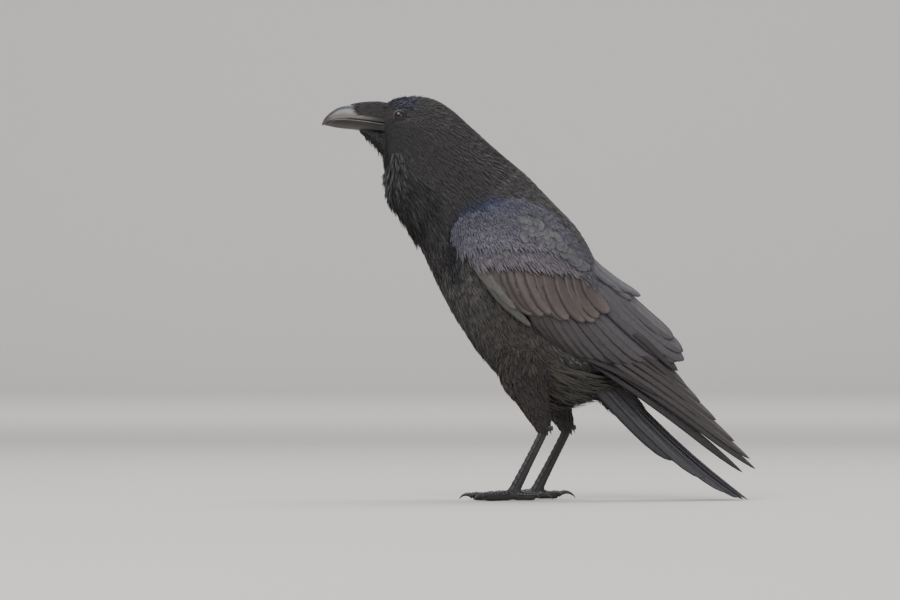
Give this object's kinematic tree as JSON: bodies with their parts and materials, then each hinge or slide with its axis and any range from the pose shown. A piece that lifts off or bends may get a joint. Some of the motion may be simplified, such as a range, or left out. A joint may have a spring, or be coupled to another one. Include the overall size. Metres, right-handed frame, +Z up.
{
  "type": "common raven standing",
  "caption": "Life-size common raven standing upright with folded wings, level heavy bill, shaggy throat and wedge tail whose tip rests on the ground.",
  "frame": {"origin": "on the ground, midway between bill tip and wing tip, in the bird's middle plane", "axes": "+X towards the tail (the bird faces -X), +Y to the bird's right, +Z up"},
  "size_m": [0.4553, 0.1524, 0.4237],
  "materials": {
    "plumage": "black feathers with a blue-violet gloss, satin",
    "bill": "slate-grey horn, satin",
    "legs": "black scaled skin, dull satin",
    "claws": "black horn, glossy",
    "eyes": "dark brown, wet gloss"
  },
  "bodies": {
    "root": {"bill_upper": "bill", "bill_lower": "bill", "head": "plumage", "neck": "plumage", "trunk": "plumage", "tail": "plumage", "eye_left": "eyes", "wing_left_coverts": "plumage", "wing_left_quills": "plumage", "wing_left_primaries": "plumage", "thigh_left": "plumage", "shank_left": "legs", "toe_left_inner": "legs", "claw_left_inner": "claws", "toe_left_middle": "legs", "claw_left_middle": "claws", "toe_left_outer": "legs", "claw_left_outer": "claws", "toe_left_hind": "legs", "claw_left_hind": "claws", "eye_right": "eyes", "wing_right_coverts": "plumage", "wing_right_quills": "plumage", "wing_right_primaries": "plumage", "thigh_right": "plumage", "shank_right": "legs", "toe_right_inner": "legs", "claw_right_inner": "claws", "toe_right_middle": "legs", "claw_right_middle": "claws", "toe_right_outer": "legs", "claw_right_outer": "claws", "toe_right_hind": "legs", "claw_right_hind": "claws"}
  },
  "joints": []
}
